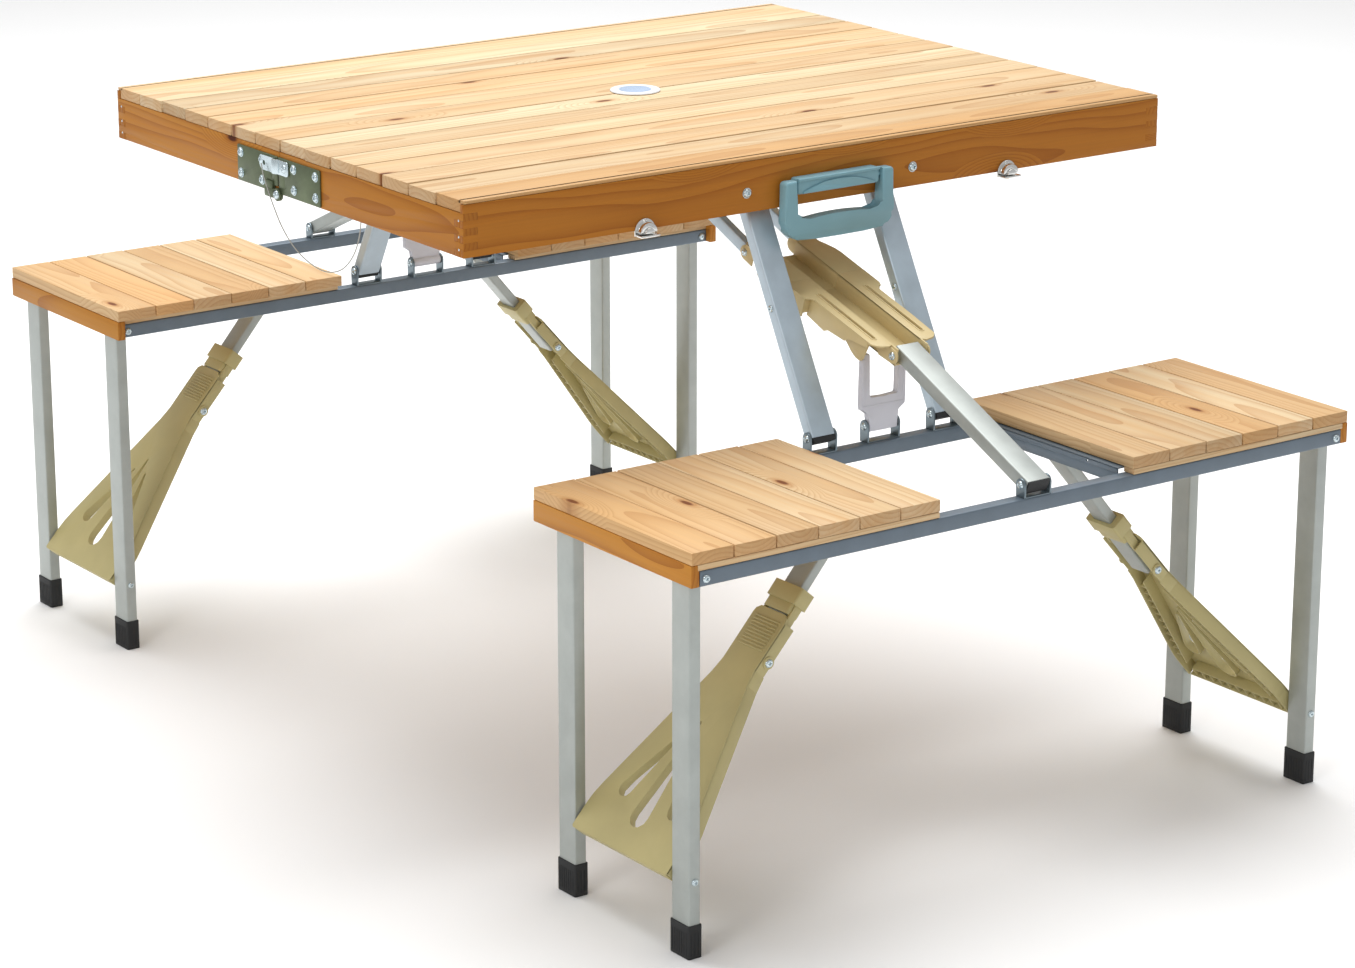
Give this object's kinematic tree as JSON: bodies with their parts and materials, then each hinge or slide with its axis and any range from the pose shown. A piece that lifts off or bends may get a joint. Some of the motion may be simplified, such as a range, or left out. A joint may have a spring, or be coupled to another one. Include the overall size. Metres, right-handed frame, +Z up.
{
  "type": "folding picnic table",
  "caption": "Suitcase-type folding picnic table: slatted pine top hinged along its middle, with two fold-out benches of pine seats on aluminium legs.",
  "frame": {"origin": "on the floor under the middle of the table top", "axes": "+X along the fold line to the right, +Y to the bench away from the handle, +Z up"},
  "size_m": [0.8752, 1.318, 0.6622],
  "materials": {
    "pine": "clear-lacquered pale pine",
    "pine_rim": "clear-lacquered warm pine",
    "rail_steel": "blue-grey powder coat",
    "zinc": "yellow-zinc plate",
    "bright_zinc": "bright zinc plate",
    "chrome": "bright plate",
    "teal_plastic": "satin moulded",
    "wire": "twisted steel wire",
    "white_plastic": "satin moulded",
    "rubber": "matt black",
    "tan_plastic": "satin moulded",
    "grey_plastic": "satin moulded",
    "olive_plastic": "satin moulded",
    "aluminium": "cool satin anodised",
    "leg_tube": "neutral satin anodised"
  },
  "bodies": {
    "table_front": {"table_top_front": "pine", "table_rim_front": "pine_rim", "pivot_plate_front": "rail_steel", "hinge_leaf_front_left": "zinc", "hinge_leaf_front_right": "zinc", "handle_mount": "teal_plastic", "umbrella_cap": "white_plastic", "tether": "wire"},
    "table_back": {"table_top_back": "pine", "table_rim_back": "pine_rim", "pivot_plate_back": "rail_steel", "hinge_leaf_back_left": "zinc", "hinge_leaf_back_right": "zinc", "latch_keeper_left": "chrome", "latch_keeper_right": "chrome"},
    "handle": {"handle": "teal_plastic"},
    "latch_left": {"latch_left": "chrome"},
    "lock_tab_left": {"lock_tab_left": "bright_zinc"},
    "latch_right": {"latch_right": "chrome"},
    "lock_tab_right": {"lock_tab_right": "bright_zinc"},
    "a_legs_front": {"a_leg_front_left": "aluminium", "a_leg_front_right": "aluminium"},
    "strut_arms_front": {"strut_arms_front": "aluminium"},
    "bracket_upper_front": {"bracket_upper_front": "tan_plastic"},
    "bracket_lower_front": {"bracket_lower_front": "tan_plastic"},
    "lower_strut_front": {"lower_strut_front": "leg_tube"},
    "link_front": {"link_front": "grey_plastic"},
    "bench_front": {"bench_frame_front": "rail_steel", "seat_front_left": "pine", "seat_front_right": "pine"},
    "legs_front_left": {"leg_frame_front_left": "leg_tube", "foot_front_left_inner": "rubber", "foot_front_left_outer": "rubber"},
    "brace_tube_front_left": {"brace_tube_front_left": "leg_tube"},
    "brace_plate_front_left": {"brace_plate_front_left": "olive_plastic"},
    "legs_front_right": {"leg_frame_front_right": "leg_tube", "foot_front_right_inner": "rubber", "foot_front_right_outer": "rubber"},
    "brace_tube_front_right": {"brace_tube_front_right": "leg_tube"},
    "brace_plate_front_right": {"brace_plate_front_right": "olive_plastic"},
    "a_legs_back": {"a_leg_back_left": "aluminium", "a_leg_back_right": "aluminium"},
    "strut_arms_back": {"strut_arms_back": "aluminium"},
    "bracket_upper_back": {"bracket_upper_back": "tan_plastic"},
    "bracket_lower_back": {"bracket_lower_back": "tan_plastic"},
    "lower_strut_back": {"lower_strut_back": "leg_tube"},
    "link_back": {"link_back": "grey_plastic"},
    "bench_back": {"bench_frame_back": "rail_steel", "seat_back_left": "pine", "seat_back_right": "pine"},
    "legs_back_left": {"leg_frame_back_left": "leg_tube", "foot_back_left_inner": "rubber", "foot_back_left_outer": "rubber"},
    "brace_tube_back_left": {"brace_tube_back_left": "leg_tube"},
    "brace_plate_back_left": {"brace_plate_back_left": "olive_plastic"},
    "legs_back_right": {"leg_frame_back_right": "leg_tube", "foot_back_right_inner": "rubber", "foot_back_right_outer": "rubber"},
    "brace_tube_back_right": {"brace_tube_back_right": "leg_tube"},
    "brace_plate_back_right": {"brace_plate_back_right": "olive_plastic"}
  },
  "joints": [
    {"name": "table_fold", "type": "hinge", "parent": "table_front", "child": "table_back", "pos_m": [0, 0, 0.6055], "axis": [-1, 0, 0], "range_deg": [0, 60]},
    {"name": "handle_swing", "type": "hinge", "parent": "table_front", "child": "handle", "pos_m": [0, -0.3435, 0.6265], "axis": [-1, 0, 0], "range_deg": [0, 90]},
    {"name": "latch_turn_left", "type": "hinge", "parent": "table_front", "child": "latch_left", "pos_m": [-0.225, -0.3393, 0.616], "axis": [-1, 0, 0], "range_deg": [0, 80]},
    {"name": "lock_tab_turn_left", "type": "hinge", "parent": "table_front", "child": "lock_tab_left", "pos_m": [-0.4329, -0.017, 0.634], "axis": [1, 0, 0], "range_deg": [0, 60]},
    {"name": "latch_turn_right", "type": "hinge", "parent": "table_front", "child": "latch_right", "pos_m": [0.225, -0.3393, 0.616], "axis": [-1, 0, 0], "range_deg": [0, 80]},
    {"name": "lock_tab_turn_right", "type": "hinge", "parent": "table_front", "child": "lock_tab_right", "pos_m": [0.4329, -0.017, 0.634], "axis": [1, 0, 0], "range_deg": [0, 60]},
    {"name": "bench_stow_front", "type": "hinge", "parent": "table_front", "child": "a_legs_front", "pos_m": [0, -0.2915, 0.639], "axis": [1, 0, 0], "range_deg": [0, 118.05]},
    {"name": "arm_turn_front", "type": "hinge", "parent": "table_front", "child": "strut_arms_front", "pos_m": [0, -0.022, 0.635], "axis": [-1, 0, 0], "range_deg": [0, 22.98]},
    {"name": "bracket_upper_turn_front", "type": "hinge", "parent": "strut_arms_front", "child": "bracket_upper_front", "pos_m": [0, -0.2466, 0.54], "axis": [1, 0, 0], "range_deg": [0, 186.41]},
    {"name": "bench_level_front", "type": "hinge", "parent": "a_legs_front", "child": "bench_front", "pos_m": [0, -0.4215, 0.395], "axis": [-1, 0, 0], "range_deg": [0, 118.1]},
    {"name": "strut_turn_front", "type": "hinge", "parent": "bench_front", "child": "lower_strut_front", "pos_m": [0, -0.6515, 0.391], "axis": [-1, 0, 0], "range_deg": [0, 24.18]},
    {"name": "bracket_lower_turn_front", "type": "hinge", "parent": "lower_strut_front", "child": "bracket_lower_front", "pos_m": [0, -0.4617, 0.476], "axis": [1, 0, 0], "range_deg": [0, 187.6]},
    {"name": "link_turn_front", "type": "hinge", "parent": "bench_front", "child": "link_front", "pos_m": [0, -0.4185, 0.395], "axis": [1, 0, 0], "range_deg": [0, 90.05]},
    {"name": "leg_fold_front_left", "type": "hinge", "parent": "bench_front", "child": "legs_front_left", "pos_m": [-0.387, -0.5365, 0.371], "axis": [0, -1, 0], "range_deg": [0, 90]},
    {"name": "brace_tube_turn_front_left", "type": "hinge", "parent": "bench_front", "child": "brace_tube_front_left", "pos_m": [-0.127, -0.5365, 0.371], "axis": [0, 1, 0], "range_deg": [0, 49.46]},
    {"name": "brace_plate_turn_front_left", "type": "hinge", "parent": "brace_tube_front_left", "child": "brace_plate_front_left", "pos_m": [-0.2437, -0.5365, 0.2348], "axis": [0, -1, 0], "range_deg": [0, 181.34]},
    {"name": "leg_fold_front_right", "type": "hinge", "parent": "bench_front", "child": "legs_front_right", "pos_m": [0.387, -0.5365, 0.371], "axis": [0, 1, 0], "range_deg": [0, 90]},
    {"name": "brace_tube_turn_front_right", "type": "hinge", "parent": "bench_front", "child": "brace_tube_front_right", "pos_m": [0.127, -0.5365, 0.371], "axis": [0, -1, 0], "range_deg": [0, 49.46]},
    {"name": "brace_plate_turn_front_right", "type": "hinge", "parent": "brace_tube_front_right", "child": "brace_plate_front_right", "pos_m": [0.2437, -0.5365, 0.2348], "axis": [0, 1, 0], "range_deg": [0, 181.34]},
    {"name": "bench_stow_back", "type": "hinge", "parent": "table_back", "child": "a_legs_back", "pos_m": [0, 0.2915, 0.639], "axis": [-1, 0, 0], "range_deg": [0, 118.05]},
    {"name": "arm_turn_back", "type": "hinge", "parent": "table_back", "child": "strut_arms_back", "pos_m": [0, 0.022, 0.635], "axis": [1, 0, 0], "range_deg": [0, 22.98]},
    {"name": "bracket_upper_turn_back", "type": "hinge", "parent": "strut_arms_back", "child": "bracket_upper_back", "pos_m": [0, 0.2466, 0.54], "axis": [-1, 0, 0], "range_deg": [0, 186.41]},
    {"name": "bench_level_back", "type": "hinge", "parent": "a_legs_back", "child": "bench_back", "pos_m": [0, 0.4215, 0.395], "axis": [1, 0, 0], "range_deg": [0, 118.1]},
    {"name": "strut_turn_back", "type": "hinge", "parent": "bench_back", "child": "lower_strut_back", "pos_m": [0, 0.6515, 0.391], "axis": [1, 0, 0], "range_deg": [0, 24.18]},
    {"name": "bracket_lower_turn_back", "type": "hinge", "parent": "lower_strut_back", "child": "bracket_lower_back", "pos_m": [0, 0.4617, 0.476], "axis": [-1, 0, 0], "range_deg": [0, 187.6]},
    {"name": "link_turn_back", "type": "hinge", "parent": "bench_back", "child": "link_back", "pos_m": [0, 0.4185, 0.395], "axis": [-1, 0, 0], "range_deg": [0, 90.05]},
    {"name": "leg_fold_back_left", "type": "hinge", "parent": "bench_back", "child": "legs_back_left", "pos_m": [-0.387, 0.5365, 0.371], "axis": [0, -1, 0], "range_deg": [0, 90]},
    {"name": "brace_tube_turn_back_left", "type": "hinge", "parent": "bench_back", "child": "brace_tube_back_left", "pos_m": [-0.127, 0.5365, 0.371], "axis": [0, 1, 0], "range_deg": [0, 49.46]},
    {"name": "brace_plate_turn_back_left", "type": "hinge", "parent": "brace_tube_back_left", "child": "brace_plate_back_left", "pos_m": [-0.2437, 0.5365, 0.2348], "axis": [0, -1, 0], "range_deg": [0, 181.34]},
    {"name": "leg_fold_back_right", "type": "hinge", "parent": "bench_back", "child": "legs_back_right", "pos_m": [0.387, 0.5365, 0.371], "axis": [0, 1, 0], "range_deg": [0, 90]},
    {"name": "brace_tube_turn_back_right", "type": "hinge", "parent": "bench_back", "child": "brace_tube_back_right", "pos_m": [0.127, 0.5365, 0.371], "axis": [0, -1, 0], "range_deg": [0, 49.46]},
    {"name": "brace_plate_turn_back_right", "type": "hinge", "parent": "brace_tube_back_right", "child": "brace_plate_back_right", "pos_m": [0.2437, 0.5365, 0.2348], "axis": [0, 1, 0], "range_deg": [0, 181.34]}
  ],
  "couplings": [
    {"joint": "arm_turn_front", "follows": "bench_stow_front", "ratio": 0.19422},
    {"joint": "bracket_upper_turn_front", "follows": "bench_stow_front", "ratio": 1.5787},
    {"joint": "bench_level_front", "follows": "bench_stow_front", "ratio": 1},
    {"joint": "strut_turn_front", "follows": "bench_stow_front", "ratio": 0.20437},
    {"joint": "bracket_lower_turn_front", "follows": "bench_stow_front", "ratio": 1.5888},
    {"joint": "link_turn_front", "follows": "bench_stow_front", "ratio": 0.7624},
    {"joint": "brace_tube_turn_front_left", "follows": "leg_fold_front_left", "ratio": 0.54899},
    {"joint": "brace_plate_turn_front_left", "follows": "leg_fold_front_left", "ratio": 2.0144},
    {"joint": "brace_tube_turn_front_right", "follows": "leg_fold_front_right", "ratio": 0.54899},
    {"joint": "brace_plate_turn_front_right", "follows": "leg_fold_front_right", "ratio": 2.0144},
    {"joint": "arm_turn_back", "follows": "bench_stow_back", "ratio": 0.19422},
    {"joint": "bracket_upper_turn_back", "follows": "bench_stow_back", "ratio": 1.5787},
    {"joint": "bench_level_back", "follows": "bench_stow_back", "ratio": 1},
    {"joint": "strut_turn_back", "follows": "bench_stow_back", "ratio": 0.20437},
    {"joint": "bracket_lower_turn_back", "follows": "bench_stow_back", "ratio": 1.5888},
    {"joint": "link_turn_back", "follows": "bench_stow_back", "ratio": 0.7624},
    {"joint": "brace_tube_turn_back_left", "follows": "leg_fold_back_left", "ratio": 0.54899},
    {"joint": "brace_plate_turn_back_left", "follows": "leg_fold_back_left", "ratio": 2.0144},
    {"joint": "brace_tube_turn_back_right", "follows": "leg_fold_back_right", "ratio": 0.54899},
    {"joint": "brace_plate_turn_back_right", "follows": "leg_fold_back_right", "ratio": 2.0144}
  ]
}
